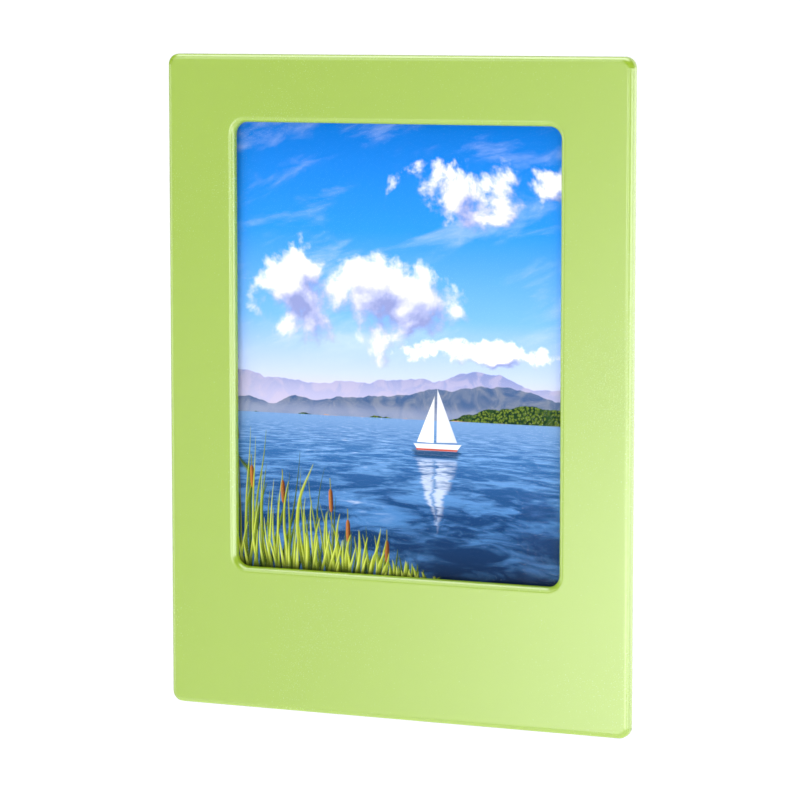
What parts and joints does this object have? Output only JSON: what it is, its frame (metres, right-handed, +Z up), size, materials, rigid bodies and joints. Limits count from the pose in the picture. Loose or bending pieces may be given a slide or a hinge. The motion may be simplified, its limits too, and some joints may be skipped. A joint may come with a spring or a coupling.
{
  "type": "magnetic photo frame",
  "caption": "Thin lime frame for a card-size print: a windowed front panel held by magnets to a shallow back tray, which the print slides into from the top.",
  "frame": {"origin": "centre of the rear face that lies on the steel surface", "axes": "+Z up the frame, +X to the right seen from the front, +Y out of the rear face, so the panel looks along -Y"},
  "size_m": [0.068, 0.0048, 0.091],
  "materials": {
    "lime_panel": "satin moulded",
    "lime_tray": "fine spark texture",
    "clear_pane": "clear polished sheet",
    "pane_tape": "translucent film tape",
    "print_paper": "glossy coated print",
    "grey_card": "uncoated grey board",
    "steel_disc": "zinc-plated stamped disc",
    "plated_magnet": "bright nickel plating",
    "grip_pad": "fine-textured solid rubber"
  },
  "bodies": {
    "back": {"back_tray": "lime_tray", "magnet_top_left": "plated_magnet", "magnet_top_right": "plated_magnet", "magnet_bottom_left": "plated_magnet", "magnet_bottom_right": "plated_magnet", "grip_pad_top_left": "grip_pad", "grip_pad_top_right": "grip_pad", "grip_pad_bottom_left": "grip_pad", "grip_pad_bottom_right": "grip_pad"},
    "front": {"front_panel": "lime_panel", "window_pane": "clear_pane", "pane_tape": "pane_tape", "keeper_disc_top_left": "steel_disc", "keeper_disc_top_right": "steel_disc", "keeper_disc_bottom_left": "steel_disc", "keeper_disc_bottom_right": "steel_disc"},
    "print": {"photo_print": "print_paper", "backing_card": "grey_card"}
  },
  "joints": [
    {"name": "front_pull", "type": "slide", "parent": "back", "child": "front", "axis": [0, -1, 0], "range_m": [0, 0.03]},
    {"name": "print_lift", "type": "slide", "parent": "back", "child": "print", "axis": [0, 0, 1], "range_m": [0, 0.09]}
  ]
}
